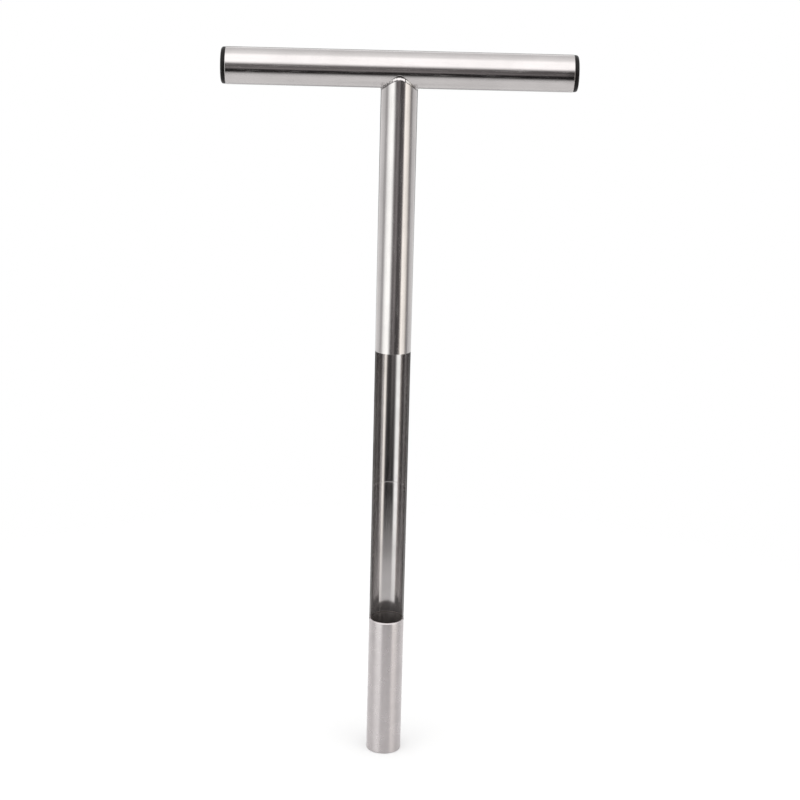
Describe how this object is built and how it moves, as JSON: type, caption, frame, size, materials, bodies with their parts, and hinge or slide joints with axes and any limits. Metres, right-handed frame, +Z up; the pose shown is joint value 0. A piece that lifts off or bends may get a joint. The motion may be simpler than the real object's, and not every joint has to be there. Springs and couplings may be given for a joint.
{
  "type": "soil auger",
  "caption": "Push-in soil sampler: a steel tube with a long open side window, a plain cutting tip and a tubular T-handle closed by plastic plugs.",
  "frame": {"origin": "centre of the cutting mouth's lower edge, on the plane that the probe stands on", "axes": "+Z up the probe tube to the handle, X along the handle, the open side window facing -Y"},
  "size_m": [0.241, 0.0253, 0.5095],
  "materials": {
    "polished_steel": "mirror polished along the tube",
    "ground_weld": "ground flush and polished",
    "satin_steel": "satin, turned",
    "black_plastic": "semi-gloss moulded"
  },
  "bodies": {
    "root": {"handle_tube": "polished_steel", "probe_tube": "polished_steel", "handle_weld": "ground_weld", "tip_weld": "ground_weld", "cutting_tip": "satin_steel", "end_plug_left": "black_plastic", "end_plug_right": "black_plastic"}
  },
  "joints": []
}
